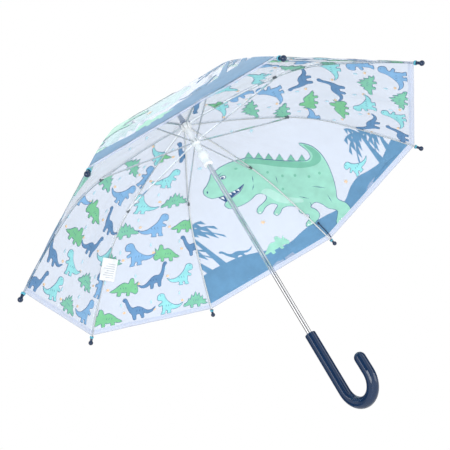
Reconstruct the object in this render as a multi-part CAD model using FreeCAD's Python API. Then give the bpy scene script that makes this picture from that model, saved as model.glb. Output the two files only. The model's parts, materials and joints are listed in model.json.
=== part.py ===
"""Children's stick umbrella, standing open: a J handle, a steel shaft, a sliding runner, eight ribs with
their stretchers, and eight film panels. +Z runs up the shaft; the origin is the centre of the grip."""

import FreeCAD, Part
import math
import os

Vec = FreeCAD.Vector
Z = Vec(0, 0, 1)

# ---- driving dimensions, mm and degrees -------------------------------------------------------------
COUNT = 8                       # ribs, stretchers and panels
PITCH = 360 / COUNT

GRIP_LENGTH = 99.0              # straight part of the handle
HANDLE_R = 8.6
HOOK_R = 30.6                   # centre line of the bend
HOOK_RISE = 21.0                # straight end above the bend
HOOK_AZIMUTH = 21.0
SOCKET_DEPTH = 42.0             # how far the shaft goes into the handle

SHAFT_R = 4.0
SHAFT_WALL = 0.7
FIT = 0.06                      # radial clearance of what slides or turns

TIP_PLANE = 272.5               # height of the tip balls' centres
CROWN_PIVOT_R = 7.0
CROWN_PIVOT_Z = TIP_PLANE + 198.0
RUNNER_PIVOT_R = 6.0
RUNNER_PIVOT_Z = TIP_PLANE + 161.0
CATCH_AZIMUTH = 157.5           # between two ribs, on the side away from the hook

# A rib's centre line: it starts down at RIB_START and turns further down along three arcs (length, turn).
RIB_START = 11.12
RIB_ARCS = ((174.87, 9.45), (89.27, 19.03), (154.91, 6.96))
RIB_WIDTH = 2.2
RIB_HEIGHT = 2.0
EYE_THICKNESS = 0.9

STRETCHER_WIDTH = 1.5
STRETCHER_HEIGHT = 2.2
STRETCHER_OFFSET = 2.9          # sideways from the rib at the outer end, so that it folds past the rib

BALL_R = 4.1
BARREL_R = 2.3
BARREL_LENGTH = 12.0            # it ends just short of the film's corner
FLARE = 0.5                     # how much wider the barrel's mouth is
FLARE_LENGTH = 2.4

FILM = 0.3                      # thickness of a panel's solid
FILM_OVER_RIB = 1.7             # inner face above the rib's centre line
FILM_HOLE_R = 5.0
FILM_OVER_CROWN = 0.3           # gap between the crown and the film
FILM_LEAVES_CROWN = 24.0        # from here outwards the film follows the ribs
HEM_INSET = 13.0                # the hem ends this far short of the tip ball, along the rib
PANEL_GAP = 0.2                 # each side of a seam


# ---- small helpers ----------------------------------------------------------------------------------
def arc_through(a, b, c):
    """An arc from a to c by way of b."""
    return Part.Arc(a, b, c).toShape()


def face_of(points):
    """A flat face inside straight edges."""
    return Part.Face(Part.makePolygon([Vec(*p) for p in points] + [Vec(*points[0])]))


def turned(shape, azimuth):
    """The shape, built along +X, turned to its azimuth about the shaft."""
    out = shape.copy()
    out.rotate(Vec(0, 0, 0), Z, azimuth)
    return out


def upright(x, z, y=0.0):
    """A point of the XZ plane, or beside it."""
    return Vec(x, y, z)


def plate(points, width):
    """A flat outline of (x, z) points, made width thick about the XZ plane."""
    face = face_of([(x, -width / 2, z) for x, z in points])
    return face.extrude(Vec(0, width, 0))


def pin_y(x, z, radius, width):
    """A level pin across the XZ plane."""
    return Part.makeCylinder(radius, width, Vec(x, -width / 2, z), Vec(0, 1, 0))


def tube(outer, inner, low, high):
    """A round tube about the shaft's axis."""
    return Part.makeCylinder(outer, high - low, Vec(0, 0, low)).cut(
        Part.makeCylinder(inner, high - low + 2, Vec(0, 0, low - 1))
    )


def turning(outline):
    """A solid of revolution from (radius, z) points."""
    return face_of([(r, 0, z) for r, z in outline]).revolve(Vec(0, 0, 0), Z, 360)


# ---- rib centre line --------------------------------------------------------------------------------
def rib_marks():
    """The ends and middles of the rib's arcs, as (x, z, slope in degrees below level)."""
    x, z, slope = CROWN_PIVOT_R, CROWN_PIVOT_Z, RIB_START
    marks = [(x, z, slope)]
    for length, turn in RIB_ARCS:
        for _ in range(2):
            half = math.radians(turn) / 2
            chord = 2 * (length / math.radians(turn)) * math.sin(half / 2)
            heading = math.radians(slope) + half / 2
            x, z = x + chord * math.cos(heading), z - chord * math.sin(heading)
            slope += turn / 2
            marks.append((x, z, slope))
    return marks


MARKS = rib_marks()
JOINT_X, JOINT_Z, JOINT_SLOPE = MARKS[2]
TIP_X, TIP_Z, TIP_SLOPE = MARKS[-1]
RIB_LENGTH = sum(length for length, turn in RIB_ARCS)


def beside(mark, offset, y=0.0):
    """A point off the rib's centre line, upward and outward by offset."""
    x, z, slope = mark
    return upright(x + offset * math.sin(math.radians(slope)), z + offset * math.cos(math.radians(slope)), y)


def rib_point(distance, offset=0.0):
    """A point on the rib at a distance from the crown pivot, as (x, z)."""
    x, z, slope = CROWN_PIVOT_R, CROWN_PIVOT_Z, RIB_START
    for length, turn in RIB_ARCS:
        run = min(max(distance, 0), length)
        swing = math.radians(turn * run / length)
        chord = run if swing == 0 else 2 * (length / math.radians(turn)) * math.sin(swing / 2)
        heading = math.radians(slope) + swing / 2
        x, z = x + chord * math.cos(heading), z - chord * math.sin(heading)
        slope += math.degrees(swing)
        distance -= run
    p = beside((x, z, slope), offset)
    return p.x, p.z


def rib_bar(low, high, width):
    """A bar along the whole rib, between two offsets from its centre line."""
    y = -width / 2
    top = [beside(m, high, y) for m in MARKS]
    bottom = [beside(m, low, y) for m in MARKS]
    edges = [arc_through(*top[i : i + 3]) for i in (0, 2, 4)]
    edges.append(Part.makeLine(top[-1], bottom[-1]))
    edges += [arc_through(bottom[i], bottom[i - 1], bottom[i - 2]) for i in (6, 4, 2)]
    edges.append(Part.makeLine(bottom[0], top[0]))
    return Part.Face(Part.Wire(edges)).extrude(Vec(0, width, 0))


# ---- shaft, handle and crown ------------------------------------------------------------------------
GRIP_TOP = GRIP_LENGTH / 2
SHAFT_LOW = GRIP_TOP - SOCKET_DEPTH
SHAFT_HIGH = CROWN_PIVOT_Z + 12.0
RIM_Z = RUNNER_PIVOT_Z - 49.0       # the runner's lower rim
COLLAR_TOP = RUNNER_PIVOT_Z + 5.0
CROWN_LOW = CROWN_PIVOT_Z - 8.0
CROWN_HIGH = CROWN_PIVOT_Z + 3.0
CROWN_R = 9.6
CROWN_FOOT_R = 7.4
CROWN_EDGE = 1.4                    # bevel round the crown's top
CAP_LOW = CROWN_PIVOT_Z + 4.2
CAP_HEIGHT = 3.4
FERRULE_LOW = CAP_LOW + CAP_HEIGHT
FERRULE_HIGH = FERRULE_LOW + 27.0
WIRE_R = 0.45                       # the ring wires that the ribs and stretchers hang on
EYE_GAP = 0.12                      # round a wire, inside an eye
PIN_R = 0.8                         # the pin that holds the crown on the shaft
PIN_DROP = 6.4                      # below the crown's wire
GRIP_EDGE = 1.4                     # round edge at the grip's top
SLEEVE_R = 4.9

# Each catch is a leaf inside the shaft with a nose that stands out through a slot; (x, z) from its root.
CATCH_OUTLINE = ((-2.3, 0), (-1.5, 0), (-1.5, 6), (2.6, 20), (4.9, 25), (4.9, 31), (3.0, 31), (2.9, 33),
                 (2.1, 33), (2.1, 23), (-2.3, 8))
CATCH_WIDTH = 1.8
SLOT_WIDTH = 2.4
SLOT_SPAN = (19.6, 32.0)
SLOT_START = 1.6                    # from the shaft's axis, so that a slot opens one side only
TOP_CATCH_Z = RIM_Z - 31.5          # root; its shoulder is just under the rim
BOTTOM_CATCH_Z = GRIP_TOP + 72.0    # root; it hangs down from here


def shaft():
    """The chrome tube, with a slot for each catch's nose and a hole for the crown's pin."""
    body = tube(SHAFT_R, SHAFT_R - SHAFT_WALL, SHAFT_LOW, SHAFT_HIGH)
    for root, way in ((TOP_CATCH_Z, 1), (BOTTOM_CATCH_Z, -1)):
        low, high = sorted(root + way * s for s in SLOT_SPAN)
        slot = Part.makeBox(SHAFT_R, SLOT_WIDTH, high - low, Vec(SLOT_START, -SLOT_WIDTH / 2, low))
        body = body.cut(turned(slot, CATCH_AZIMUTH))
    return body.cut(crown_pin())


def catch(root, way):
    """A leaf spring with a nose; way is 1 where it stands up from its root, and -1 where it hangs."""
    return turned(plate([(x, root + way * z) for x, z in CATCH_OUTLINE], CATCH_WIDTH), CATCH_AZIMUTH)


def handle():
    """A straight grip with a round bend, a short rise and a round end."""
    low = -GRIP_TOP
    grip = Part.makeCylinder(HANDLE_R, GRIP_LENGTH, Vec(0, 0, low))
    top_edges = [e for e in grip.Edges if e.CenterOfMass.z > GRIP_TOP - 0.1 and e.Closed]
    grip = grip.makeFillet(GRIP_EDGE, top_edges)
    ring = Part.Face(Part.Wire(Part.makeCircle(HANDLE_R, Vec(0, 0, low), Vec(0, 0, -1))))
    bend = ring.revolve(Vec(HOOK_R, 0, low), Vec(0, -1, 0), 180)
    end = Part.makeCylinder(HANDLE_R, HOOK_RISE, Vec(2 * HOOK_R, 0, low))
    knob = Part.makeSphere(HANDLE_R, Vec(2 * HOOK_R, 0, low + HOOK_RISE))
    body = grip.fuse([bend, end, knob]).removeSplitter()
    body = body.cut(Part.makeCylinder(SHAFT_R, SOCKET_DEPTH + 1, Vec(0, 0, SHAFT_LOW)))
    return turned(body, HOOK_AZIMUTH)


CROWN_GROOVE = WIRE_R + 0.05        # half width
CROWN_SLOT = (1.5, 5.1)             # width, and distance of its floor from the axis
CROWN_SLOT_HIGH = 2.0               # above the wire


def crown():
    """A slotted disc with a ring groove for the wire, open below so that the ribs can hang down."""
    z = CROWN_PIVOT_Z
    body = turning([(SHAFT_R, CROWN_LOW), (CROWN_FOOT_R, CROWN_LOW), (CROWN_R, z - 5),
                    (CROWN_R, CROWN_HIGH - CROWN_EDGE), (CROWN_R - CROWN_EDGE, CROWN_HIGH),
                    (SHAFT_R, CROWN_HIGH)])
    body = body.cut(tube(CROWN_PIVOT_R + CROWN_GROOVE, CROWN_PIVOT_R - CROWN_GROOVE, CROWN_LOW - 1, z + 0.5))
    width, floor = CROWN_SLOT
    high = z + CROWN_SLOT_HIGH
    slot = Part.makeBox(CROWN_R, width, high - CROWN_LOW + 1, Vec(floor, -width / 2, CROWN_LOW - 1))
    body = body.cut([turned(slot, PITCH * i) for i in range(COUNT)])
    return body.cut(crown_pin())


def crown_pin():
    """A pin through crown and shaft, midway between two ribs."""
    reach = CROWN_R - 0.5
    pin = Part.makeCylinder(PIN_R, 2 * reach, Vec(-reach, 0, CROWN_PIVOT_Z - PIN_DROP), Vec(1, 0, 0))
    return turned(pin, PITCH / 2)


def ring_wire(radius, z):
    """A closed ring of wire."""
    return Part.makeTorus(radius, WIRE_R, Vec(0, 0, z))


def ferrule_cap():
    """The shallow dish that holds the film down on the crown."""
    z, top = CAP_LOW, CAP_LOW + CAP_HEIGHT
    return turning([(SHAFT_R, z), (10.0, z), (10.2, z + 0.6), (9.4, z + 1.6), (6.4, z + 2.6), (5.6, top),
                    (SHAFT_R, top)])


def ferrule():
    """The spike: a collar, a taper and a blunt round end."""
    low, high = FERRULE_LOW, FERRULE_HIGH
    body = turning([(0, low), (5.4, low), (5.4, low + 4), (4.2, low + 7), (3.5, high - 3), (3.1, high - 1.2),
                    (2.2, high - 0.3), (1.2, high), (0, high)])
    return body.cut(Part.makeCylinder(SHAFT_R, SHAFT_HIGH - low + 0.2, Vec(0, 0, low)))


# ---- runner -----------------------------------------------------------------------------------------
# Its outline above the rim, as (radius, height): a skirt, a waist, a thumb bulb, a barrel and a collar.
SKIRT, SKIRT_MIDDLE = (8.0, 2.0), (7.35, 6.0)
WAIST, WAIST_MIDDLE = (7.2, 10.5), (8.3, 14.5)
BULB, BULB_MIDDLE = (9.0, 20.0), (7.9, 25.4)
BARREL_FOOT, BARREL_HEAD = (5.3, 28.5), (5.3, 42.5)
COLLAR = (7.3, 45.5)
COLLAR_GROOVE = WIRE_R + 0.05       # half width
COLLAR_SLOT = (2.1, 4.75, 1.9)      # width, distance of its floor from the axis, depth below the wire
CATCH_GROOVE = (5.3, 2.8)           # distance of its floor from the axis, and width
CATCH_WINDOW = (9.0, 5.0, 16.0)     # distance from the axis, and its low and high ends above the rim


def runner():
    """A slider with a slotted collar, and a groove and window that clear the catches."""
    def at(corner):
        return upright(corner[0], RIM_Z + corner[1])

    bore = SHAFT_R + FIT
    edges = [arc_through(at(SKIRT), at(SKIRT_MIDDLE), at(WAIST)),
             arc_through(at(WAIST), at(WAIST_MIDDLE), at(BULB)),
             arc_through(at(BULB), at(BULB_MIDDLE), at(BARREL_FOOT))]
    rest = [at(BARREL_FOOT), at(BARREL_HEAD), at(COLLAR), upright(COLLAR[0], COLLAR_TOP),
            upright(bore, COLLAR_TOP), upright(bore, RIM_Z), upright(SKIRT[0], RIM_Z), at(SKIRT)]
    edges += [Part.makeLine(a, b) for a, b in zip(rest, rest[1:])]
    body = Part.Face(Part.Wire(edges)).revolve(Vec(0, 0, 0), Z, 360)
    z = RUNNER_PIVOT_Z
    wire_groove = tube(RUNNER_PIVOT_R + COLLAR_GROOVE, RUNNER_PIVOT_R - COLLAR_GROOVE,
                       z - COLLAR_GROOVE, COLLAR_TOP + 1)
    width, floor, depth = COLLAR_SLOT
    slot = Part.makeBox(COLLAR[0], width, COLLAR_TOP - z + depth + 1, Vec(floor, -width / 2, z - depth))
    body = body.cut([wire_groove] + [turned(slot, PITCH * i) for i in range(COUNT)])
    floor, width = CATCH_GROOVE
    groove = Part.makeBox(floor, width, COLLAR_TOP - RIM_Z + 2, Vec(0, -width / 2, RIM_Z - 1))
    reach, low, high = CATCH_WINDOW
    window = Part.makeBox(reach, width, high - low, Vec(0, -width / 2, RIM_Z + low))
    return body.cut([turned(groove, CATCH_AZIMUTH), turned(window, CATCH_AZIMUTH)])


# ---- ribs, clips, tips and stretchers ---------------------------------------------------------------
CHANNEL_START = 8.0             # how far from its pivot a rib or stretcher becomes a full channel
RIB_SHEET = 0.7                 # thickness of a rib's back
RIB_GROOVE = 0.9                # width of the channel inside a rib
RIB_EYE_R = 1.6
TAB_HALF = 0.9                  # half height of the flat tabs beside the eyes
CLIP_LENGTH = 6.8
CLIP_WIDTH = 3.2
CLIP_DEPTH = 2.0                # below the rib's centre line


def rib():
    """A channel open below, with a flat tab and an eye at the crown."""
    bar = rib_bar(-RIB_HEIGHT / 2, RIB_HEIGHT / 2, RIB_WIDTH)
    bar = bar.cut(rib_bar(-RIB_HEIGHT, RIB_HEIGHT / 2 - RIB_SHEET, RIB_GROOVE))
    x, z = CROWN_PIVOT_R, CROWN_PIVOT_Z
    keep = Part.makeBox(RIB_LENGTH, 20, RIB_LENGTH, Vec(x + CHANNEL_START, -10, z - 0.9 * RIB_LENGTH))
    end_x, end_z = rib_point(CHANNEL_START + 6)
    slope = math.radians(RIB_START)
    dx, dz = TAB_HALF * math.sin(slope), TAB_HALF * math.cos(slope)
    tab = plate([(x + dx, z + dz), (x - dx, z - dz), (end_x - dx, end_z - dz), (end_x + dx, end_z + dz)],
                EYE_THICKNESS)
    body = bar.common(keep).fuse([tab, pin_y(x, z, RIB_EYE_R, EYE_THICKNESS)]).removeSplitter()
    return body.cut(pin_y(x, z, WIRE_R + EYE_GAP, 4))


def clip(rib_solid):
    """A small block that grips the rib where the stretcher meets it."""
    slope = math.radians(JOINT_SLOPE)
    along = Vec(math.cos(slope), 0, -math.sin(slope))
    up = Vec(math.sin(slope), 0, math.cos(slope))
    centre = upright(JOINT_X, JOINT_Z)
    half, low, high = CLIP_LENGTH / 2, -CLIP_DEPTH, RIB_HEIGHT / 2 + 0.3
    outline = ((-half, low), (half, low), (half, high), (-half, high))
    corners = [centre + along * a + up * b for a, b in outline]
    block = plate([(c.x, c.z) for c in corners], CLIP_WIDTH)
    return block.cut(rib_solid)


def tip(rib_solid):
    """A ball on a short barrel that the rib's end goes into."""
    slope = math.radians(TIP_SLOPE)
    back = Vec(-math.cos(slope), 0, math.sin(slope))
    ball = upright(TIP_X, TIP_Z)
    barrel = Part.makeCylinder(BARREL_R, BARREL_LENGTH, ball, back)
    mouth = ball + back * (BARREL_LENGTH - FLARE_LENGTH)
    flare = Part.makeCone(BARREL_R, BARREL_R + FLARE, FLARE_LENGTH, mouth, back)
    body = barrel.fuse([flare, Part.makeSphere(BALL_R, ball)]).removeSplitter()
    return body.cut(rib_solid)


STRIP_GROOVE = (0.7, 0.8)       # width, and how far its floor stands below the strip's top
STRIP_GROOVE_ENDS = (10.0, 8.0) # plain stretch at each end
STRETCHER_EYE_R = 1.2


def stretcher():
    """A channelled strip from the runner's wire to a point beside the rib's clip."""
    run = JOINT_X - RUNNER_PIVOT_R
    drop = RUNNER_PIVOT_Z - JOINT_Z
    length = math.hypot(run, drop)
    half = STRETCHER_HEIGHT / 2
    strip = Part.makeBox(length - CHANNEL_START, STRETCHER_WIDTH, STRETCHER_HEIGHT,
                         Vec(CHANNEL_START, -STRETCHER_WIDTH / 2, -half))
    width, depth = STRIP_GROOVE
    near, far = STRIP_GROOVE_ENDS
    strip = strip.cut(Part.makeBox(length - near - far, width, STRETCHER_HEIGHT,
                                   Vec(near, -width / 2, -half - depth)))
    tab = Part.makeBox(CHANNEL_START + 1, EYE_THICKNESS, 2 * TAB_HALF, Vec(0, -EYE_THICKNESS / 2, -TAB_HALF))
    ends = [pin_y(length, 0, half, STRETCHER_WIDTH), tab, pin_y(0, 0, STRETCHER_EYE_R, EYE_THICKNESS)]
    body = strip.fuse(ends).removeSplitter()
    body.rotate(Vec(0, 0, 0), Z, math.degrees(math.asin(STRETCHER_OFFSET / length)))
    body = body.cut(pin_y(0, 0, WIRE_R + EYE_GAP, 4))
    body.rotate(Vec(0, 0, 0), Vec(0, 1, 0), math.degrees(math.atan2(drop, run)))
    body.translate(upright(RUNNER_PIVOT_R, RUNNER_PIVOT_Z))
    return body


# ---- canopy and label -------------------------------------------------------------------------------
HALF_PITCH = math.radians(PITCH / 2)


def panel_profile(offset):
    """The panel's section on its middle line: level over the crown, then along the ribs."""
    level = CROWN_HIGH + FILM_OVER_CROWN + (offset - FILM_OVER_RIB)
    points = [(FILM_HOLE_R, level), (CROWN_R - 0.6, level)]
    stations = 11
    start, stop = FILM_LEAVES_CROWN, RIB_LENGTH - HEM_INSET
    for i in range(stations):
        points.append(rib_point(start + (stop - start) * i / (stations - 1), offset))
    squeeze = math.cos(HALF_PITCH)
    return [upright(x * squeeze, z) for x, z in points]


def panel():
    """One film panel between the rib at azimuth 0 and the next: ruled level between the two ribs."""
    inner, outer = panel_profile(FILM_OVER_RIB), panel_profile(FILM_OVER_RIB + FILM)
    edges = []
    for line in (inner, outer):
        curve = Part.BSplineCurve()
        curve.interpolate(line[1:])
        edges += [Part.makeLine(line[0], line[1]), curve.toShape()]
    edges += [Part.makeLine(inner[0], outer[0]), Part.makeLine(inner[-1], outer[-1])]
    section = Part.Face(Part.Wire(Part.__sortEdges__(edges)))
    reach = RIB_LENGTH
    band = section.extrude(Vec(0, reach, 0))
    band.translate(Vec(0, -reach / 2, 0))
    far = reach * math.tan(HALF_PITCH)
    start = PANEL_GAP / math.sin(HALF_PITCH)
    wedge = face_of([(start, 0, 0), (start + reach, -far, 0), (start + reach, far, 0)])
    wedge = wedge.extrude(Vec(0, 0, 2 * CROWN_PIVOT_Z))
    return turned(band.common(wedge), PITCH / 2)


LABEL_SPAN = (266.0, 306.0)     # along the rib
LABEL_WIDTH = 40.0
LABEL_THICKNESS = 0.3
LABEL_DROP = 6.0                # below the rib's centre line, clear of the film on both sides
LABEL_RIB = 5                   # counted from 0


def care_label():
    """A tag sewn in the seam by its upper edge; it hangs across one rib, just inside the canopy."""
    (x0, z0), (x1, z1) = [rib_point(s, -LABEL_DROP) for s in LABEL_SPAN]
    tag = Part.makeBox(math.hypot(x1 - x0, z1 - z0), LABEL_WIDTH, LABEL_THICKNESS,
                       Vec(0, -LABEL_WIDTH / 2, -LABEL_THICKNESS))
    tag.rotate(Vec(0, 0, 0), Vec(0, 1, 0), math.degrees(math.atan2(z0 - z1, x1 - x0)))
    tag.translate(Vec(x0, 0, z0))
    return turned(tag, PITCH * LABEL_RIB)


# ---- assembly ---------------------------------------------------------------------------------------
def build():
    """Every piece by its name, standing where it belongs."""
    parts = {
        "shaft": shaft(),
        "handle": handle(),
        "top_catch": catch(TOP_CATCH_Z, 1),
        "bottom_catch": catch(BOTTOM_CATCH_Z, -1),
        "crown": crown(),
        "crown_pin": crown_pin(),
        "crown_wire": ring_wire(CROWN_PIVOT_R, CROWN_PIVOT_Z),
        "stop_sleeve": tube(SLEEVE_R, SHAFT_R, COLLAR_TOP + 0.2, CROWN_LOW),
        "ferrule_cap": ferrule_cap(),
        "ferrule": ferrule(),
        "runner": runner(),
        "runner_wire": ring_wire(RUNNER_PIVOT_R, RUNNER_PIVOT_Z),
        "care_label": care_label(),
    }
    first_rib = rib()
    repeated = {
        "rib": first_rib,
        "rib_clip": clip(first_rib),
        "rib_tip": tip(first_rib),
        "stretcher": stretcher(),
        "canopy_panel": panel(),
    }
    for i in range(COUNT):
        for name, shape in repeated.items():
            parts[f"{name}_{i + 1}"] = turned(shape, PITCH * i)
    return parts


os.makedirs("parts", exist_ok=True)
for name, shape in build().items():
    shape.exportStep(f"parts/{name}.step")
    print(f"{name}: {len(shape.Solids)} solid, valid {shape.isValid()}, {shape.Volume:.1f} mm3")
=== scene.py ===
"""The looks of a children's stick umbrella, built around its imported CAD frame: a printed film canopy,
plated steel ribs, a chrome shaft and moulded plastic."""

import json
import math

import bmesh
import bpy
import numpy as np
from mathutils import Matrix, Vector, noise
from mathutils.geometry import delaunay_2d_cdt


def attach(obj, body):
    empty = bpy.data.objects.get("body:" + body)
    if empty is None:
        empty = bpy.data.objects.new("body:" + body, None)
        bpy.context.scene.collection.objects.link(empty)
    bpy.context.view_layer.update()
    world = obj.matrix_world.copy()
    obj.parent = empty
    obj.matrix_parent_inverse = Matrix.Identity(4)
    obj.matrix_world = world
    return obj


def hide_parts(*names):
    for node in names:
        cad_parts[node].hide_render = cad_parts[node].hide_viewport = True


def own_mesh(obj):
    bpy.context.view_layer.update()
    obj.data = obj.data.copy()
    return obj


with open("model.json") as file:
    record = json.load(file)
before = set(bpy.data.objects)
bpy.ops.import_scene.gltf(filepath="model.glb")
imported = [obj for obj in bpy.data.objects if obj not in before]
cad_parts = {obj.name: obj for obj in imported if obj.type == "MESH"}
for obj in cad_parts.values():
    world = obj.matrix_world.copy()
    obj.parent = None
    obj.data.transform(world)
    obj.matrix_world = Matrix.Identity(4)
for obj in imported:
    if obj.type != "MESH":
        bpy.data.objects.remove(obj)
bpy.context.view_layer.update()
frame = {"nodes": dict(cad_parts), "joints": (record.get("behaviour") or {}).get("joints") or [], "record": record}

MM = 0.001
JOINTS = {j["name"]: j for j in frame["joints"]}
COUNT = sum(1 for name in JOINTS if name.startswith("rib_hinge_"))
PITCH = 2 * math.pi / COUNT
HALF_PITCH = PITCH / 2
NORMAL_Z = Vector((0, 0, 1))


# ---- the rib line and the film that lies on it ------------------------------------------------------
# A rib starts at the crown pivot, RIB_START below level, and turns down along three arcs (length, turn).
CROWN_RHO, CROWN_Z = Vector(JOINTS["rib_hinge_1"]["pos_m"]).x, JOINTS["rib_hinge_1"]["pos_m"][2]
RIB_START = 11.12
RIB_ARCS = ((174.87, 9.45), (89.27, 19.03), (154.91, 6.96))
RIB_LENGTH = sum(length for length, turn in RIB_ARCS) * MM
HEM = RIB_LENGTH - 13 * MM              # the canopy's edge, measured along a rib
PRINT_END = HEM - 10 * MM               # the band beyond it is folded over and has no print
FILM_LIFT = 1.85 * MM                   # the film above a rib's centre line
INK_GAP = 0.35 * MM                     # the print stands this far off each face of the film
CROWN_TOP = CROWN_Z + 3.45 * MM         # the film's height where it lies on the crown
CROWN_FLAT = 9 * MM                     # the film is level out to this radius
CROWN_HOLE = 5.2 * MM                   # the film starts at this radius, under the ferrule's cap
BLEND_END = 24 * MM                     # beyond this distance the film follows the rib
HEM_TURN = 0.3 * MM                     # the fold stands this far past the hem line
HEM_FOLD = 9.6 * MM                     # the film that is folded under at the hem


def rib_line(s):
    """Radius, height and slope below level of a rib at the distance s from its pivot."""
    rho, z, slope = CROWN_RHO, CROWN_Z, math.radians(RIB_START)
    rest = s
    for i, (length, turn) in enumerate(RIB_ARCS):
        length, turn = length * MM, math.radians(turn)
        last = i == len(RIB_ARCS) - 1
        run = max(rest, 0) if last else min(max(rest, 0), length)
        swing = turn * run / length
        chord = run if swing == 0 else 2 * (length / turn) * math.sin(swing / 2)
        rho += chord * math.cos(slope + swing / 2)
        z -= chord * math.sin(slope + swing / 2)
        slope += swing
        rest -= run
    return rho, z, slope


def skin_line(s, lift):
    """Radius, height and slope of the film over a rib; near the crown it levels out over the crown's top."""
    if s >= BLEND_END:
        rho, z, slope = rib_line(s)
        return rho + lift * math.sin(slope), z + lift * math.cos(slope), slope
    rho1, z1, slope1 = skin_line(BLEND_END, lift)
    top = CROWN_TOP + lift - FILM_LIFT
    t = s / BLEND_END
    rho = CROWN_HOLE + (rho1 - CROWN_HOLE) * t
    if rho <= CROWN_FLAT:
        return rho, top, 0.0
    f = (rho - CROWN_FLAT) / (rho1 - CROWN_FLAT)
    run = rho1 - CROWN_FLAT
    drop = (3 * f * f - 2 * f**3) * (z1 - top) - (f**3 - f * f) * run * math.tan(slope1)
    return rho, top + drop, slope1 * f


WRINKLE_START = 40 * MM                 # the film is smooth up to here, and fully creased WRINKLE_RAMP later
WRINKLE_RAMP = 90 * MM
WAVE_DEPTH = 1.8 * MM
CREASE_DEPTH = 0.5 * MM


def wrinkle(panel, s, side):
    """A small rise and fall of the film: broad waves and slanting creases that die out at the ribs."""
    fade = (1 - side * side) ** 2 * min(1, max(0, (s - WRINKLE_START) / WRINKLE_RAMP))
    wave = noise.noise(Vector((side * 4.2 + panel * 7.3, s * 9.0, panel * 3.1)))
    crease = noise.noise(Vector((side * 7 + s * 18, s * 6 - side * 3, panel * 5.7)))
    return fade * (WAVE_DEPTH * wave + CREASE_DEPTH * crease)


def on_panel(panel, s, y, lift):
    """A point of the panel between rib `panel` and the next: y is the level distance from its middle line."""
    rho, z, slope = skin_line(s, lift)
    half = rho * math.sin(HALF_PITCH)
    side = max(-1.0, min(1.0, y / half))
    rise = wrinkle(panel, s, side)
    u = rho * math.cos(HALF_PITCH) + rise * math.sin(slope)
    mid = PITCH * panel + HALF_PITCH
    return Vector((u * math.cos(mid) - y * math.sin(mid), u * math.sin(mid) + y * math.cos(mid),
                   z + rise * math.cos(slope)))


def half_width(s):
    """Half of a panel's level width at the distance s."""
    return skin_line(s, FILM_LIFT)[0] * math.sin(HALF_PITCH)


def on_gore(rib, s, x, lift):
    """A point beside a rib: x is the level distance from the rib, positive towards the next one."""
    half = skin_line(s, lift)[0] * math.sin(HALF_PITCH)
    if x >= 0:
        return on_panel(rib, s, x - half, lift)
    return on_panel((rib - 1) % COUNT, s, x + half, lift)


# ---- material helpers -------------------------------------------------------------------------------
def shader(name):
    """A new material with its node tree and its Principled shader."""
    mat = bpy.data.materials.new(name)
    mat.use_nodes = True
    return mat, mat.node_tree, mat.node_tree.nodes["Principled BSDF"]


def node(tree, kind, **values):
    """A new node; each value sets a property of it, or the input of that name."""
    made = tree.nodes.new(kind)
    for key, value in values.items():
        if hasattr(made, key) and key not in made.inputs:
            setattr(made, key, value)
        else:
            made.inputs[key].default_value = value
    return made


def noise_node(tree, scale, detail=3.0, stretch=(1, 1, 1)):
    """Noise in the object's own metres, scale in features per metre, stretched along an axis."""
    place = node(tree, "ShaderNodeTexCoord")
    mapping = node(tree, "ShaderNodeMapping")
    mapping.inputs["Scale"].default_value = stretch
    made = node(tree, "ShaderNodeTexNoise", Scale=scale, Detail=detail)
    tree.links.new(place.outputs["Object"], mapping.inputs["Vector"])
    tree.links.new(mapping.outputs["Vector"], made.inputs["Vector"])
    return made


def vary(tree, bsdf, colour, amount, scale, stretch=(1, 1, 1)):
    """Colour that wanders a little round its mean."""
    source = noise_node(tree, scale, 4.0, stretch)
    ramp = node(tree, "ShaderNodeValToRGB")
    low = [max(0.0, c * (1 - amount)) for c in colour]
    high = [min(1.0, c * (1 + amount)) for c in colour]
    ramp.color_ramp.elements[0].position, ramp.color_ramp.elements[1].position = 0.3, 0.7
    ramp.color_ramp.elements[0].color = (*low, 1)
    ramp.color_ramp.elements[1].color = (*high, 1)
    tree.links.new(source.outputs["Fac"], ramp.inputs["Fac"])
    tree.links.new(ramp.outputs["Color"], bsdf.inputs["Base Color"])


def rough(tree, bsdf, low, high, scale, stretch=(1, 1, 1)):
    """Roughness that wanders between low and high."""
    source = noise_node(tree, scale, 5.0, stretch)
    span = node(tree, "ShaderNodeMapRange")
    span.inputs["To Min"].default_value, span.inputs["To Max"].default_value = low, high
    tree.links.new(source.outputs["Fac"], span.inputs["Value"])
    tree.links.new(span.outputs["Result"], bsdf.inputs["Roughness"])


def bump(tree, bsdf, scale, distance, strength):
    """A fine relief of the given depth."""
    source = noise_node(tree, scale)
    made = node(tree, "ShaderNodeBump", Strength=strength, Distance=distance)
    tree.links.new(source.outputs["Fac"], made.inputs["Height"])
    tree.links.new(made.outputs["Normal"], bsdf.inputs["Normal"])


# ---- materials --------------------------------------------------------------------------------------
ALONG_SHAFT = (1, 1, 0.04)


def metal(name, colour, low, high, stretch=ALONG_SHAFT):
    """Plated metal, drawn along its length."""
    mat, tree, bsdf = shader(name)
    bsdf.inputs["Metallic"].default_value = 1.0
    vary(tree, bsdf, colour, 0.06, 900, stretch)
    rough(tree, bsdf, low, high, 1400, stretch)
    return mat


def plastic(name, colour, low, high, coat=0.4, grain=0.00002, gloss=0.5):
    """Moulded plastic: a faint flow in the colour and the orange peel of a polished mould."""
    mat, tree, bsdf = shader(name)
    bsdf.inputs["IOR"].default_value = 1.5
    bsdf.inputs["Specular IOR Level"].default_value = gloss
    bsdf.inputs["Coat Weight"].default_value = coat
    bsdf.inputs["Coat Roughness"].default_value = 0.06
    vary(tree, bsdf, colour, 0.08, 60)
    rough(tree, bsdf, low, high, 220)
    bump(tree, bsdf, 140, grain, 0.15)
    return mat


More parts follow.
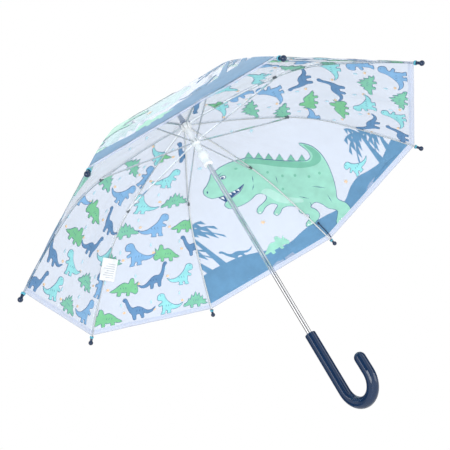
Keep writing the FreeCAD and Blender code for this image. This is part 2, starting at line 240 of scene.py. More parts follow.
def film(name, colour, alpha, low=0.16, high=0.3):
    """Frosted soft film: it lets most light through, tints it, and shines softly."""
    mat, tree, bsdf = shader(name)
    bsdf.inputs["Alpha"].default_value = alpha
    bsdf.inputs["IOR"].default_value = 1.46
    bsdf.inputs["Coat Weight"].default_value = 0.25
    bsdf.inputs["Coat Roughness"].default_value = 0.15
    vary(tree, bsdf, colour, 0.05, 14)
    rough(tree, bsdf, low, high, 40)
    bump(tree, bsdf, 120, 0.0002, 0.2)
    return mat


INK_ALPHA = 0.94
INKS = {}


def ink(name, colour):
    """Screen-printed ink: matt beside the film, and a little uneven."""
    mat, tree, bsdf = shader("ink_" + name)
    bsdf.inputs["Alpha"].default_value = INK_ALPHA
    bsdf.inputs["IOR"].default_value = 1.45
    bsdf.inputs["Specular IOR Level"].default_value = 0.25
    vary(tree, bsdf, colour, 0.07, 55)
    rough(tree, bsdf, 0.35, 0.5, 300)
    bump(tree, bsdf, 2600, 0.00003, 0.2)
    INKS[name] = mat
    return mat


CHROME = metal("shaft_chrome", (0.82, 0.83, 0.85), 0.06, 0.13)
STEEL = metal("rib_steel", (0.78, 0.82, 0.84), 0.2, 0.34, (1, 1, 1))
NAVY = plastic("navy_plastic", (0.003, 0.02, 0.062), 0.04, 0.08, 0.0, gloss=0.5)
WHITE = plastic("white_plastic", (0.96, 0.97, 0.98), 0.22, 0.34, 0.4)
CLIP = plastic("clip_plastic", (0.08, 0.1, 0.12), 0.15, 0.3, 0.4)
FILM = film("canopy_film", (0.465, 0.57, 0.76), 0.55)
SEAM = film("canopy_seam", (0.6, 0.69, 0.82), 0.7, 0.3, 0.45)
HEM_FILM = film("canopy_hem", (0.5, 0.59, 0.8), 0.42, 0.25, 0.4)
THREAD = plastic("tie_thread", (0.1, 0.42, 0.55), 0.6, 0.8, 0.0, 0.0003)
ELASTIC = plastic("strap_elastic", (0.008, 0.03, 0.08), 0.5, 0.7, 0.0, 0.0002)
SATIN = plastic("label_satin", (0.86, 0.87, 0.88), 0.45, 0.6, 0.1, 0.0001)
LABEL_GREY = plastic("label_print", (0.5, 0.54, 0.6), 0.5, 0.6, 0.0)

ink("outline", (0.03, 0.09, 0.23))
ink("steel_blue", (0.12, 0.265, 0.48))
ink("sky_blue", (0.23, 0.455, 0.735))
ink("cyan", (0.31, 0.735, 0.77))
ink("green", (0.2, 0.57, 0.3))
ink("mint", (0.33, 0.67, 0.55))
ink("pale_mint", (0.45, 0.74, 0.65))
ink("deep_mint", (0.19, 0.51, 0.38))
ink("teal", (0.215, 0.57, 0.41))
ink("hill", (0.125, 0.285, 0.47))
ink("peach", (0.86, 0.62, 0.4))
ink("drop", (0.5, 0.76, 0.86))
ink("white", (0.8, 0.85, 0.87))
INK_LIST = list(INKS)

NODE_MATERIAL = {
    "shaft_chrome": CHROME, "rib_steel": STEEL, "navy_plastic": NAVY, "white_plastic": WHITE,
    "clip_plastic": CLIP, "canopy_film": FILM, "label_satin": SATIN,
}


# ---- building pieces --------------------------------------------------------------------------------
def piece(name, verts, faces, materials, face_materials=None):
    """A smooth mesh object; face_materials gives each face's place in the list of materials."""
    mesh = bpy.data.meshes.new(name)
    mesh.from_pydata([tuple(v) for v in verts], [], faces)
    for mat in materials:
        mesh.materials.append(mat)
    for i, polygon in enumerate(mesh.polygons):
        polygon.use_smooth = True
        if face_materials:
            polygon.material_index = face_materials[i]
    made = bpy.data.objects.new(name, mesh)
    bpy.context.scene.collection.objects.link(made)
    return made


def tangent(rib):
    """The level direction across a rib, towards the next one."""
    a = PITCH * rib
    return Vector((-math.sin(a), math.cos(a), 0))


def radial(rib):
    """The level direction out along a rib."""
    a = PITCH * rib
    return Vector((math.cos(a), math.sin(a), 0))


def fold_with(made, rib):
    """Let a soft piece ride on a rib, with a mesh of its own."""
    hinge = JOINTS[f"rib_hinge_{rib + 1}"]
    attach(made, hinge["child"])
    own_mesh(made)


# ---- canopy film ------------------------------------------------------------------------------------
ROW_STEP = 5 * MM
# The folded hem, as (past the hem line, below the film).
HEM_ROWS = ((HEM_TURN, 0.35 * MM), (-4 * MM, 0.6 * MM), (-9 * MM, 0.5 * MM))
COLUMNS = 18                    # on each side of a rib
SEAM_HALF = 1.8 * MM
FILM_KIND, SEAM_KIND, HEM_KIND = 0, 1, 2


def film_rows():
    """(s, lift) down the film, and then back up inside the folded hem."""
    count = round(HEM / ROW_STEP)
    rows = [(HEM * i / count, FILM_LIFT) for i in range(count + 1)]
    return rows + [(HEM + step, FILM_LIFT - drop) for step, drop in HEM_ROWS]


def canopy_film(rib):
    """The film that one rib carries, from the middle of one panel to the middle of the next, with a ridge."""
    verts, faces, kinds = [], [], []
    rows = film_rows()
    width = 2 * COLUMNS + 3
    for s, lift in rows:
        half = skin_line(s, lift)[0] * math.sin(HALF_PITCH)
        seam = min(SEAM_HALF, 0.3 * half)
        right = [seam + (half - seam) * i / COLUMNS for i in range(COLUMNS + 1)]
        for x in [-v for v in reversed(right)] + [0.0] + right:
            verts.append(on_gore(rib, s, x, lift))
    for r in range(len(rows) - 1):
        for c in range(width - 1):
            a = r * width + c
            faces.append((a, a + width, a + width + 1, a + 1))
            in_hem = rows[r][0] >= PRINT_END or r > len(rows) - len(HEM_ROWS) - 2
            on_rib = c in (COLUMNS, COLUMNS + 1)
            kinds.append(HEM_KIND if in_hem else SEAM_KIND if on_rib else FILM_KIND)
    made = piece(f"canopy_film_{rib + 1}", verts, faces, [FILM, SEAM, HEM_FILM], kinds)
    ridge = COLUMNS + 1
    mesh = bmesh.new()
    mesh.from_mesh(made.data)
    for edge in mesh.edges:
        a, b = (v.index for v in edge.verts)
        if a % width == ridge and b % width == ridge:
            edge.smooth = False
    mesh.to_mesh(made.data)
    mesh.free()
    return made


def gore_area():
    """The flat area of the film that one rib carries, with its folded hem."""
    steps = 200
    area = 0.0
    last = skin_line(0, FILM_LIFT)
    for i in range(1, steps + 1):
        here = skin_line(HEM * i / steps, FILM_LIFT)
        rise = math.hypot((here[0] - last[0]) * math.cos(HALF_PITCH), here[1] - last[1])
        area += rise * (here[0] + last[0]) * math.sin(HALF_PITCH)
        last = here
    return area + HEM_FOLD * 2 * last[0] * math.sin(HALF_PITCH)


# ---- drawing: closed outlines in millimetres --------------------------------------------------------
def between(p0, p1, p2, p3, steps):
    """Points from p1 up to p2, on a smooth line that also heeds p0 and p3."""
    out = []
    for k in range(steps):
        t = k / steps
        out.append(0.5 * ((2 * p1) + (p2 - p0) * t + (2 * p0 - 5 * p1 + 4 * p2 - p3) * t * t
                          + (3 * p1 - p0 - 3 * p2 + p3) * t**3))
    return out


def curve(points, steps=3):
    """A smooth closed line through the points."""
    out, n = [], len(points)
    for i in range(n):
        out += between(*(Vector(points[(i + j) % n]) for j in (-1, 0, 1, 2)), steps)
    return out


def area_of(points):
    """The area inside a closed outline, negative where it runs clockwise."""
    return sum(points[i - 1].x * p.y - p.x * points[i - 1].y for i, p in enumerate(points)) / 2


def grown(points, distance):
    """The outline moved outwards by a distance."""
    way = 1 if area_of(points) > 0 else -1
    out = []
    for i, p in enumerate(points):
        along = points[(i + 1) % len(points)] - points[i - 1]
        if along.length < 1e-9:
            continue
        out.append(p + Vector((along.y, -along.x)).normalized() * distance * way)
    return out


def ring(x, y, radius, count):
    """A round outline."""
    turns = [2 * math.pi * i / count for i in range(count)]
    return [Vector((x + radius * math.cos(a), y + radius * math.sin(a))) for a in turns]


def streak(a, b, width):
    """A thin lens from a to b."""
    a, b = Vector(a), Vector(b)
    side = Vector((b.y - a.y, a.x - b.x)).normalized() * width / 2
    mid = (a + b) / 2
    return [a, mid + side, b, mid - side]


# Small animals face +x and stand on y = 0, in units of their height or length.
BIPED = [(0.8, 0.78), (0.74, 0.92), (0.56, 0.97), (0.42, 0.9), (0.36, 0.74), (0.24, 0.58), (0.08, 0.45),
         (-0.16, 0.32), (-0.46, 0.3), (-0.62, 0.38), (-0.42, 0.2), (-0.14, 0.14), (0.04, 0.16), (0.1, 0.06),
         (0.06, 0.0), (0.3, 0.0), (0.25, 0.09), (0.34, 0.16), (0.42, 0.06), (0.42, 0.0), (0.64, 0.0),
         (0.56, 0.1), (0.54, 0.26), (0.55, 0.42), (0.68, 0.38), (0.75, 0.44), (0.66, 0.5), (0.56, 0.54),
         (0.56, 0.64), (0.76, 0.68)]
LONG_NECK = [(1.0, 0.98), (0.92, 1.06), (0.8, 1.02), (0.73, 0.86), (0.64, 0.64), (0.5, 0.53), (0.28, 0.55),
             (0.06, 0.46), (-0.18, 0.28), (-0.44, 0.24), (-0.66, 0.36), (-0.46, 0.16), (-0.18, 0.13),
             (0.0, 0.2), (0.0, 0.0), (0.13, 0.0), (0.18, 0.18), (0.3, 0.22), (0.4, 0.18), (0.42, 0.0),
             (0.55, 0.0), (0.58, 0.22), (0.7, 0.4), (0.8, 0.62), (0.86, 0.84), (0.92, 0.91)]
HORNED = [(1.0, 0.16), (0.98, 0.34), (0.93, 0.46), (0.88, 0.36), (0.98, 0.66), (0.8, 0.5), (0.72, 0.8),
          (0.54, 0.76), (0.46, 0.56), (0.24, 0.62), (0.0, 0.52), (-0.24, 0.34), (-0.52, 0.2), (-0.26, 0.16),
          (-0.1, 0.18), (-0.12, 0.0), (0.06, 0.0), (0.1, 0.16), (0.28, 0.14), (0.4, 0.16), (0.4, 0.0),
          (0.56, 0.0), (0.58, 0.16), (0.74, 0.12), (0.88, 0.06)]
PLATED = [(0.96, 0.1), (0.92, 0.24), (0.74, 0.3), (0.64, 0.5), (0.54, 0.42), (0.46, 0.68), (0.34, 0.54),
          (0.22, 0.82), (0.1, 0.56), (-0.02, 0.74), (-0.1, 0.46), (-0.24, 0.56), (-0.28, 0.34), (-0.5, 0.34),
          (-0.42, 0.2), (-0.6, 0.14), (-0.34, 0.1), (-0.1, 0.16), (-0.1, 0.0), (0.06, 0.0), (0.1, 0.14),
          (0.34, 0.14), (0.36, 0.0), (0.52, 0.0), (0.54, 0.14), (0.74, 0.12)]
# Each kind: its ink, its outline, where its eye is, and its size in millimetres.
ANIMALS = (
    ("steel_blue", LONG_NECK, (0.9, 1.0), 42), ("sky_blue", BIPED, (0.64, 0.88), 46),
    ("cyan", BIPED, (0.64, 0.88), 42), ("green", HORNED, (0.86, 0.3), 40), ("teal", PLATED, (0.86, 0.2), 38),
)


def placed(points, x, s, size, lean=0.0, flip=1):
    """Outline units put on a panel: x across, s down from the crown, both in millimetres."""
    c, d = math.cos(lean), math.sin(lean)
    out = []
    for p in points:
        px, py = (p[0] - 0.2) * size * flip, (p[1] - 0.4) * size
        out.append(Vector((x + px * c - py * d, s - (px * d + py * c))))
    return out


def animal(kind, x, s, lean, flip, scale=1.0):
    """(ink, outline) pairs of one small animal, lowest first."""
    colour, shape, eye, size = ANIMALS[kind]
    size *= scale
    body = placed(curve(shape, 2), x, s, size, lean, flip)
    marks = [("outline", grown(body, 0.75)), (colour, body)]
    eye_at = placed([eye], x, s, size, lean, flip)[0]
    marks.append(("outline", ring(eye_at.x, eye_at.y, 0.9, 6)))
    for i in range(3):
        a, b = placed([(0.02 + 0.14 * i, 0.42), (0.08 + 0.14 * i, 0.3)], x, s, size, lean, flip)
        marks.append(("outline", streak(a, b, 1.1)))
    return marks


PATTERN_ROWS = 7
ROW_GAP = 53.0
ANIMAL_GAP = 66.0
FIRST_ROW = 60.0
OVERHANG = 14                   # an animal may start this far outside the panel
LOZENGE = ((-3.4, 0), (-1, -2.4), (3.2, -1.2), (2.6, 1.8), (-1.4, 2.2))
DROP = ((6, -20), (8.4, -15), (6.6, -12), (4.2, -14.4))


def pattern(variant):
    """Rows of small animals with dots and drops between them."""
    marks = []
    for row in range(PATTERN_ROWS):
        s = FIRST_ROW + ROW_GAP * row
        half = half_width(min(s * MM, HEM)) / MM
        shift = ANIMAL_GAP / 2 * (row % 2) + variant * 17
        reach = math.ceil(half / ANIMAL_GAP) + 1
        for col in range(-reach, reach + 1):
            x = col * ANIMAL_GAP + shift % ANIMAL_GAP - ANIMAL_GAP / 2
            if abs(x) > half + OVERHANG:
                continue
            pick = (2 * row + col * 3 + variant * 2) % len(ANIMALS)
            wobble = math.sin(row * 2.1 + col * 3.7 + variant)
            marks += animal(pick, x, s + 3 * wobble, 0.12 * wobble, -1 if (row + variant) % 2 else 1)
            dot_x, dot_s = x + ANIMAL_GAP / 2, s + 4 * math.cos(col * 2 + row)
            marks.append(("peach", curve([(dot_x + a, dot_s + b) for a, b in LOZENGE], 2)))
            marks.append(("drop", curve([(dot_x + a, dot_s + b) for a, b in DROP], 2)))
    return marks


def frond(x, s, angle, length, droop):
    """A palm leaf: an arched spine, smooth above, with pointed leaflets that hang from it."""
    leaflets, upper, lower = 4, [], []

    def spine(t):
        return Vector((x + length * t * math.cos(angle), s - length * t * math.sin(angle) + droop * t * t))

    for i in range(leaflets + 1):
        t = i / leaflets
        upper.append(spine(t) + Vector((0, -0.09 * length * math.sin(math.pi * t))))
        lower.append(spine(t) + Vector((0, 0.06 * length * (1 - t))))
        if i < leaflets:
            reach = length * (0.16 + 0.26 * math.sin(math.pi * (t + 0.5 / leaflets)))
            lean = 0.3 * length / leaflets * (1 if math.cos(angle) > 0 else -1)
            lower.append(spine(t + 0.7 / leaflets) + Vector((lean, reach)))
    return upper + lower[::-1]


PALM_LEAVES = ((3.4, 0.5), (2.95, 0.4), (2.5, 0.3), (2.05, 0.25), (1.6, 0.1), (1.15, 0.25), (0.7, 0.3),
               (0.25, 0.4), (-0.25, 0.5))      # (angle, droop)


def palm(x, s, height, lean, size):
    """A leaning trunk that stands at (x, s) with a crown of leaves."""
    top_x, top_s = x + lean, s - height
    trunk = [(x - 7, s + 6), (x - 4 + lean * 0.3, s - height * 0.5), (top_x - 3, top_s), (top_x + 3, top_s),
             (x + 4 + lean * 0.4, s - height * 0.5), (x + 7, s + 6)]
    marks = [("hill", [Vector(p) for p in trunk])]
    for angle, droop in PALM_LEAVES:
        marks.append(("hill", frond(top_x, top_s, angle, size, droop * size)))
    return marks


PAST_HEM = 20                   # the land is drawn this far past the hem, and the cut takes the rest away


def hill(tops):
    """The strip of land along the hem: its upper edge passes through (x, s)."""
    line = [Vector(p) for p in tops]
    shore, last = [], len(line) - 1
    for i in range(last):
        shore += between(line[max(i - 1, 0)], line[i], line[i + 1], line[min(i + 2, last)], 5)
    end = HEM / MM + PAST_HEM
    return [("hill", shore + [line[-1], Vector((line[-1].x, end)), Vector((line[0].x, end))])]


# The large animal is drawn across the rib in the middle of a scene: x is the level distance from that rib.
LARGE = [(-8, 152), (8, 141), (30, 136), (48, 138), (58, 140), (68, 150), (82, 160), (94, 166), (101, 178),
         (99, 194), (88, 201), (70, 205), (52, 206), (36, 204), (52, 215), (72, 219), (88, 220), (95, 227),
         (92, 238), (76, 244), (54, 244), (36, 240), (26, 248), (28, 258), (40, 264), (54, 267), (62, 274),
         (61, 281), (53, 279), (44, 274), (30, 274), (24, 284), (34, 290), (42, 296), (40, 303), (32, 301),
         (22, 295), (10, 298), (0, 310), (4, 324), (-6, 338), (2, 346), (12, 351), (13, 358), (-20, 358),
         (-26, 344), (-22, 330), (-38, 332), (-46, 346), (-49, 360), (-60, 377), (-50, 386), (-40, 392),
         (-41, 399), (-80, 398), (-86, 382), (-79, 362), (-92, 346), (-106, 326), (-118, 302), (-124, 276),
         (-121, 252), (-108, 230), (-109, 252), (-104, 265), (-92, 264), (-74, 247), (-56, 226), (-40, 204),
         (-27, 182), (-17, 165)]
LARGE_BELLY = [(28, 242), (24, 256), (20, 276), (8, 292), (-6, 302), (-18, 312), (-22, 306), (-8, 288),
               (4, 268), (10, 246), (18, 238)]
LARGE_BACK = [(-8, 154), (-18, 168), (-28, 184), (-40, 205), (-56, 227), (-74, 248), (-92, 267),
              (-104, 270), (-112, 262), (-112, 238), (-120, 256), (-122, 276), (-114, 286), (-96, 282),
              (-74, 266), (-54, 244), (-36, 220), (-22, 196), (-10, 176), (0, 160)]
LARGE_MOUTH = [(90, 202), (70, 206), (52, 207), (38, 205), (53, 213.5), (72, 217.5), (88, 218.5)]
LARGE_CREASES = (((-20, 296), (-34, 318)), ((-30, 322), (-24, 334)), ((-58, 304), (-78, 330)),
                 ((-70, 340), (-64, 360)), ((24, 216), (36, 228)), ((12, 196), (22, 212)),
                 ((40, 160), (62, 156)), ((-20, 232), (-10, 246)))
LARGE_SPINES = ((-16, 158), (-28, 178), (-40, 198), (-54, 218), (-70, 238), (-86, 256))
LARGE_TEETH = (52, 60, 68, 76, 84)
LARGE_SPOTS = ((-14, 214), (-30, 244), (-50, 264), (-70, 288), (-92, 300), (-8, 262), (20, 160), (4, 180))
LARGE_CLAWS = ((4, 356), (10, 355), (-46, 396), (-54, 396), (59, 278), (39, 300))


def large_animal():
    """A big two-legged dinosaur with its head low, calm, mouth a little open."""
    body = curve(LARGE, 4)
    marks = []
    for x, s in LARGE_SPINES:
        spine = [Vector((x + 6, s - 6)), Vector((x - 8, s - 7)), Vector((x - 4, s + 9))]
        marks += [("outline", grown(spine, 0.8)), ("deep_mint", spine)]
    marks += [("outline", grown(body, 0.9)), ("mint", body)]
    marks.append(("pale_mint", curve(LARGE_BELLY, 3)))
    marks.append(("deep_mint", curve(LARGE_BACK, 3)))
    marks.append(("outline", [Vector(p) for p in LARGE_MOUTH]))
    for x in LARGE_TEETH:
        gum = 208 - 0.1 * (x - LARGE_TEETH[0])
        marks.append(("white", [Vector((x - 2, gum)), Vector((x + 4, gum - 1)), Vector((x + 1, 213))]))
    marks += [("outline", ring(50, 162, 6, 16)), ("white", ring(50, 162, 4.8, 14))]
    marks += [("outline", ring(51.5, 163, 2.8, 10)), ("outline", streak((42, 150), (62, 154), 2.4))]
    marks.append(("outline", streak((91, 172), (96, 179), 3)))
    marks += [("deep_mint", ring(x, s, 3, 10)) for x, s in LARGE_SPOTS]
    marks += [("white", ring(x, s, 1.8, 6)) for x, s in LARGE_CLAWS]
    marks += [("outline", streak(a, b, 1.4)) for a, b in LARGE_CREASES]
    return marks


# The scene's land and what stands on it, in the same measures as the large animal.
SHORE = ((-290, 372), (-262, 364), (-230, 370), (-200, 378), (-170, 372), (-146, 364), (-120, 366),
         (-90, 376), (-60, 376), (-30, 366), (0, 358), (30, 361), (60, 368), (90, 364), (120, 352),
         (150, 341), (180, 336), (210, 334), (240, 336), (290, 340))
PALMS = ((-204, 382, 70, -8, 44), (-230, 378, 44, -12, 38), (188, 338, 96, 2, 50), (216, 338, 60, 16, 42))
LAND_STARS = ((-120, 352), (70, 300))
SKY_STARS = ((-66, 128), (60, 112), (-40, 92))
STAR_R, STAR_NOTCH = 5.4, 2.4


def star(x, s):
    """A five-pointed star."""
    out = []
    for i in range(10):
        r, a = (STAR_R if i % 2 else STAR_NOTCH), i * math.pi / 5
        out.append(Vector((x + r * math.sin(a), s + r * math.cos(a))))
    return out


def scene_marks():
    """The whole scene, drawn over both panels beside its middle rib."""
    marks = hill(SHORE)
    for values in PALMS:
        marks += palm(*values)
    marks += large_animal()
    marks += animal(2, -160, 348, 0.0, 1, 0.85)
    marks.append(("hill", placed(curve(LONG_NECK, 2), 150, 330, 34)))
    marks.append(("mint", placed(curve(HORNED, 2), 92, 356, 38, flip=-1)))
    marks += [("peach", star(x, s)) for x, s in LAND_STARS]
    marks += [("drop", star(x, s)) for x, s in SKY_STARS]
    return marks


# ---- from drawing to printed mesh -------------------------------------------------------------------
CUT_STEP = 8.0                  # the print is cut level this often, so that it follows the film's curve
PRINT_START = 26.0              # no print nearer to the crown than this


def inside(line, x, y):
    """Which of the points (x, y) lie inside a closed outline."""
    turns = np.zeros(len(x), dtype=int)
    for i, b in enumerate(line):
        a = line[i - 1]
        left = (b.x - a.x) * (y - a.y) - (x - a.x) * (b.y - a.y)
        turns += np.where((a.y <= y) & (b.y > y) & (left > 0), 1, 0)
        turns -= np.where((a.y > y) & (b.y <= y) & (left < 0), 1, 0)
    return turns != 0


def cut_print(marks):
    """The marks cut to one panel, as (corners, ink, x > 0) triangles; a later mark covers an earlier one."""
    points, edges = [], []

    def run(line, closed):
        first, n = len(points), len(line)
        points.extend(Vector((p.x, p.y)) for p in line)
        edges.extend((first + i, first + (i + 1) % n) for i in range(n if closed else n - 1))

    end = PRINT_END / MM
    count = round((end - PRINT_START) / CUT_STEP)
    stations = [PRINT_START + (end - PRINT_START) * i / count for i in range(count + 1)]
    border = [Vector((half_width(s * MM) / MM, s)) for s in stations]
    run([Vector((-p.x, p.y)) for p in border] + border[::-1], True)
    run([Vector((0, PRINT_START)), Vector((0, end))], False)
    for p in border[1:-1]:
        cells = 2 * math.ceil(p.x / CUT_STEP)
        run([Vector((p.x * (2 * i / cells - 1), p.y)) for i in range(cells + 1)], False)
    for name, line in marks:
        run(line, True)
    verts, _, tris = delaunay_2d_cdt(points, edges, [], 0, 1e-5)[:3]
    corners = np.array([[verts[v][:] for v in tri] for tri in tris])
    x, y = corners[:, :, 0].mean(axis=1), corners[:, :, 1].mean(axis=1)
    widths = np.interp(y, stations, [p.x for p in border])
    on = (y > PRINT_START) & (y < end) & (np.abs(x) < widths)
    top = np.full(len(x), -1)
    for i, (name, line) in enumerate(marks):
        xs, ys = [p.x for p in line], [p.y for p in line]
        near = np.nonzero(on & (x > min(xs)) & (x < max(xs)) & (y > min(ys)) & (y < max(ys)))[0]
        top[near[inside(line, x[near], y[near])]] = i
    return [([verts[v] for v in tris[i]], marks[top[i]][0], x[i] > 0) for i in np.nonzero(top >= 0)[0]]


def shifted(marks, side):
    """Scene marks seen from the middle line of the panel on one side of the scene's rib."""
    def moved(p):
        s = min(max(p.y * MM, 0), HEM + PAST_HEM * MM)
        return Vector((p.x - side * half_width(s) / MM, p.y))
    return [(name, [moved(p) for p in line]) for name, line in marks]


SCENE = scene_marks()
PRINTS = {
    "before": cut_print(shifted(SCENE, -1)),
    "after": cut_print(shifted(SCENE, 1)),
    "pattern_a": cut_print(pattern(0)),
    "pattern_b": cut_print(pattern(1)),
}
# Going round from rib 1: two patterned panels, then a scene of two panels, and the same again.
PANEL_PRINT = ("pattern_a", "pattern_b", "before", "after") * 2


def canopy_ink(rib):
    """The print on both sides of a rib, to the middle lines of its two panels, on both faces of the film."""
    verts, index, faces, kinds = [], {}, [], []
    lifts = (FILM_LIFT + INK_GAP, FILM_LIFT - INK_GAP)
    for panel, far_half in ((rib, False), ((rib - 1) % COUNT, True)):
        for tri, name, right in PRINTS[PANEL_PRINT[panel]]:
            if right != far_half:
                continue
            for lift in lifts:
                corners = []
                for p in tri:
                    key = (panel, lift, round(p.x, 4), round(p.y, 4))
                    if key not in index:
                        index[key] = len(verts)
                        verts.append(on_panel(panel, p.y * MM, p.x * MM, lift))
                    corners.append(index[key])
                if len(set(corners)) == 3:
                    faces.append(tuple(corners if lift == lifts[1] else corners[::-1]))
                    kinds.append(INK_LIST.index(name))
    return piece(f"canopy_print_{rib + 1}", verts, faces, list(INKS.values()), kinds)


# ---- ties, rivets and the label ---------------------------------------------------------------------
def tube_along(name, path, radius, material):
    """A closed round tube along a list of points."""
    sides = 8
    verts, faces = [], []
    for i, p in enumerate(path):
        ahead = (path[min(i + 1, len(path) - 1)] - path[max(i - 1, 0)]).normalized()
        across = ahead.cross(NORMAL_Z if abs(ahead.z) < 0.9 else Vector((1, 0, 0))).normalized()
        other = ahead.cross(across)
        for k in range(sides):
            a = 2 * math.pi * k / sides
            verts.append(p + across * radius * math.cos(a) + other * radius * math.sin(a))
    for i in range(len(path) - 1):
        for k in range(sides):
            a, b = i * sides + k, i * sides + (k + 1) % sides
            faces.append((a, b, b + sides, a + sides))
    faces.append(tuple(range(sides))[::-1])
    faces.append(tuple(range(len(verts) - sides, len(verts))))
    return piece(name, verts, faces, [material])


TIE_TURNS = 3.5
TIE_STEPS = 14                  # for each turn
TIE_START = HEM + 1.4 * MM
TIE_LENGTH = 3.2 * MM
TIE_R = 3.15 * MM
THREAD_R = 0.42 * MM


def canopy_tie(rib):
    """Thread wound round the mouth of the tip's barrel, close against the hem's corner."""
    path = []
    steps = int(TIE_TURNS * TIE_STEPS)
    for i in range(steps + 1):
        t = i / steps
        rho, z, slope = rib_line(TIE_START + TIE_LENGTH * t)
        turn = 2 * math.pi * TIE_TURNS * t
        out = radial(rib) * math.sin(slope) + NORMAL_Z * math.cos(slope)
        centre = radial(rib) * rho + NORMAL_Z * z
        path.append(centre + out * TIE_R * math.cos(turn) + tangent(rib) * TIE_R * math.sin(turn))
    return tube_along(f"canopy_tie_{rib + 1}", path, THREAD_R, THREAD)


DOME = ((1.0, 0.0), (0.96, 0.18), (0.74, 0.37), (0.41, 0.49))     # radius and height, by the dome's radius
DOME_TOP = 0.52


def dome(name, centre, along, across, size, material):
    """A low domed head whose flat side lies in the plane of along and across."""
    out = across.cross(along)
    verts, faces, sides = [], [], 16
    for r, h in DOME:
        for k in range(sides):
            a = 2 * math.pi * k / sides
            verts.append(centre + (along * math.cos(a) + across * math.sin(a)) * r * size + out * h * size)
    verts.append(centre + out * DOME_TOP * size)
    for i in range(len(DOME) - 1):
        for k in range(sides):
            a, b = i * sides + k, i * sides + (k + 1) % sides
            faces.append((a, a + sides, b + sides, b))
    last = (len(DOME) - 1) * sides
    for k in range(sides):
        faces.append((last + k, len(verts) - 1, last + (k + 1) % sides))
    faces.append(tuple(range(sides)))
    return piece(name, verts, faces, [material])


RIVET_R = 1.35 * MM
RIVET_SIDE = 3.65 * MM          # the outer face of a stretcher's flattened end, beside the rib


def rivet(rib):
    """A domed rivet head on the outer end of a stretcher."""
    rho, z, _ = rib_line(RIB_ARCS[0][0] * MM)
    centre = radial(rib) * rho + NORMAL_Z * z + tangent(rib) * RIVET_SIDE
    made = dome(f"stretcher_rivet_{rib + 1}", centre, radial(rib), NORMAL_Z, RIVET_R, STEEL)
    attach(made, f"stretcher_group_{rib + 1}")


STRAP_RIB = 3
STRAP_LENGTH = 40 * MM
STRAP_WIDTH = 2.4 * MM
STRAP_SIDE = -7 * MM            # its middle line, beside the rib
STRAP_LIFT = FILM_LIFT - 1.5 * MM
STRAP_BEND = 2.5 * MM           # it turns in towards the rib's tip by this much
SNAP_R = 2.8 * MM
SNAP_GAP = 0.2 * MM


def closing_strap():
    """A narrow elastic sewn to the hem beside a rib; it lies inside the film and ends in a snap."""
    verts, faces, steps, columns = [], [], 30, 4
    start = HEM - 1 * MM - STRAP_LENGTH
    for i in range(steps + 1):
        s = start + STRAP_LENGTH * i / steps
        side = STRAP_SIDE + STRAP_BEND * (i / steps) ** 2
        for j in range(columns + 1):
            verts.append(on_gore(STRAP_RIB, s, side + STRAP_WIDTH * (j / columns - 0.5), STRAP_LIFT))
    for i in range(steps):
        for j in range(columns):
            a = i * (columns + 1) + j
            faces.append((a, a + 1, a + columns + 2, a + columns + 1))
    made = piece("closing_strap", verts, faces, [ELASTIC])
    along = (verts[columns + 1] - verts[0]).normalized()
    across = (verts[columns] - verts[0]).normalized()
    seat = on_gore(STRAP_RIB, start, STRAP_SIDE, STRAP_LIFT - SNAP_GAP)
    snap = dome("closing_snap", seat, along, across, SNAP_R, NAVY)
    for part, slot in ((made, "label_satin"), (snap, "navy_plastic")):
        fold_with(part, STRAP_RIB)
    return [made, snap]


LABEL_RIB = 5
LABEL_START = 266 * MM
LABEL_SIZE = 40 * MM
LABEL_HANG = 4.6 * MM           # how far below the rib's centre line its upper edge hangs
LABEL_SLANT = 2.2 * MM          # how much further its lower edge hangs
LABEL_WAVE = 0.7 * MM


def care_label():
    """A satin tag sewn in the seam by its upper edge; it hangs across the rib, and has plain grey bars."""
    verts, faces, kinds, n = [], [], [], 30
    for i in range(n + 1):
        rho, z, slope = rib_line(LABEL_START + LABEL_SIZE * i / n)
        out = radial(LABEL_RIB) * math.sin(slope) + NORMAL_Z * math.cos(slope)
        for j in range(n + 1):
            across = LABEL_SIZE * (j / n - 0.5)
            drop = LABEL_HANG + LABEL_SLANT * (i / n) + LABEL_WAVE * math.sin(5 * j / n + 2 * i / n)
            verts.append(radial(LABEL_RIB) * rho + NORMAL_Z * z + tangent(LABEL_RIB) * across - out * drop)
    for i in range(n):
        for j in range(n):
            a = i * (n + 1) + j
            faces.append((a, a + 1, a + n + 2, a + n + 1))
            bar = i % 3 == 1 and 4 <= j < 26 - (i * 5) % 9 and 5 <= i < 26
            kinds.append(1 if bar else 0)
    made = piece("care_label_tag", verts, faces, [SATIN, LABEL_GREY], kinds)
    fold_with(made, LABEL_RIB)
    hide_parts("care_label")


# ---- assembly ---------------------------------------------------------------------------------------
def dress_frame():
    """Every CAD node that stays in view takes the material of its slot."""
    slots = {p["node"]: p["material_slot"] for p in frame["record"]["subparts"]}
    for name, made in frame["nodes"].items():
        made.data.materials.clear()
        made.data.materials.append(NODE_MATERIAL[slots[name]])


def canopy():
    """The film of every rib, with what is printed on it, tied to it and sewn to it."""
    area = gore_area()
    for rib in range(COUNT):
        skin, printed, tie = canopy_film(rib), canopy_ink(rib), canopy_tie(rib)
        fold_with(skin, rib)
        fold_with(printed, rib)
        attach(tie, JOINTS[f"rib_hinge_{rib + 1}"]["child"])
        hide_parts(f"canopy_panel_{rib + 1}")
        sewn_on = [printed, tie] + (closing_strap() if rib == STRAP_RIB else [])
        width = 2 * half_width(HEM)


def stepped(tree, stops):
    """A grey ramp through (position, grey) stops."""
    ramp = node(tree, "ShaderNodeValToRGB")
    elements = ramp.color_ramp.elements
    for _ in stops[2:]:
        elements.new(0.5)
    for element, (position, grey) in zip(elements, stops):
        element.position = position
        element.color = (grey, grey, grey, 1)
    return ramp


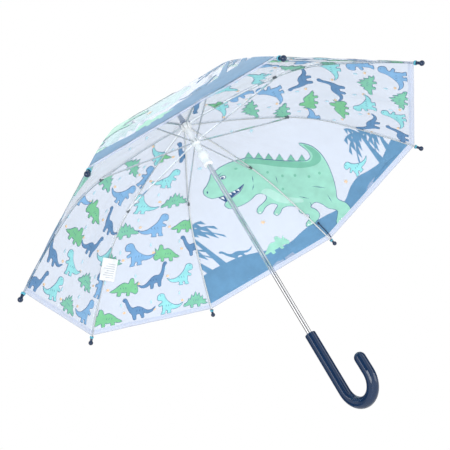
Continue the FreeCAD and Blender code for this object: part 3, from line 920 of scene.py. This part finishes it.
# Each lamp: its name, place, watts and width.
LAMPS = (("key", (1.6, -1.6, -0.3), 26, 1.2), ("fill", (1.2, 1.4, -0.9), 16, 1.4),
         ("top", (-0.8, 0.6, 2.4), 12, 1.6))
LAMP_AIM = Vector((0, 0, 0.25))
FLOOR_HALF, FLOOR_Z = 6, -1.2
# What gloss sees round the compass, as (share of the turn, brightness): the two brightest bands make the
# lines of light along the handle.
BANDS = ((0.0, 0.55), (0.05, 0.6), (0.09, 0.12), (0.17, 0.1), (0.2, 0.95), (0.295, 0.95), (0.305, 3.4),
         (0.33, 3.4), (0.345, 0.2), (0.46, 0.16), (0.5, 1.0), (0.61, 0.7), (0.63, 2.5), (0.65, 2.5),
         (0.68, 0.1), (0.83, 0.12), (0.86, 1.5), (0.9, 0.2), (1.0, 0.5))


def studio():
    """A pale floor far below, white all round, soft lamps, and upright dark bands that only gloss sees."""
    world = bpy.data.worlds.new("studio")
    bpy.context.scene.world = world
    world.use_nodes = True
    tree = world.node_tree
    place = node(tree, "ShaderNodeTexCoord")
    round_about = node(tree, "ShaderNodeTexGradient", gradient_type="RADIAL")
    tree.links.new(place.outputs["Generated"], round_about.inputs["Vector"])
    bands = stepped(tree, BANDS)
    tree.links.new(round_about.outputs["Fac"], bands.inputs["Fac"])
    path = node(tree, "ShaderNodeLightPath")
    mix = node(tree, "ShaderNodeMix", data_type="RGBA")
    tree.links.new(path.outputs["Is Glossy Ray"], mix.inputs[0])
    mix.inputs[6].default_value = (1, 1, 1, 1)
    tree.links.new(bands.outputs["Color"], mix.inputs[7])
    tree.links.new(mix.outputs[2], tree.nodes["Background"].inputs["Color"])
    corners = [(FLOOR_HALF * a, FLOOR_HALF * b, FLOOR_Z) for a, b in ((-1, -1), (1, -1), (1, 1), (-1, 1))]
    paint = plastic("floor_paint", (0.9, 0.9, 0.9), 0.7, 0.8, 0.0)
    floor = piece("floor", corners, [(0, 1, 2, 3)], [paint])
    for name, place, power, size in LAMPS:
        data = bpy.data.lights.new(name, "AREA")
        data.energy, data.size = power, size
        lamp = bpy.data.objects.new(name, data)
        lamp.location = place
        lamp.rotation_euler = (LAMP_AIM - Vector(place)).to_track_quat("-Z", "Y").to_euler()
        bpy.context.scene.collection.objects.link(lamp)


CAMERA_PLACE = (1.0874, -0.4724, -0.2699)
CAMERA_TURN = (117.98, 27.34, 81.55)
CAMERA_LENS = 65.03


def camera():
    """A camera low beside the handle, which looks up into the canopy."""
    data = bpy.data.cameras.new("camera")
    data.lens, data.sensor_width = CAMERA_LENS, 36
    made = bpy.data.objects.new("camera", data)
    made.location = CAMERA_PLACE
    made.rotation_euler = [math.radians(a) for a in CAMERA_TURN]
    bpy.context.scene.collection.objects.link(made)
    bpy.context.scene.camera = made
    bpy.context.scene.view_settings.view_transform = "Standard"


dress_frame()
canopy()
for rib in range(COUNT):
    rivet(rib)
care_label()
studio()
camera()
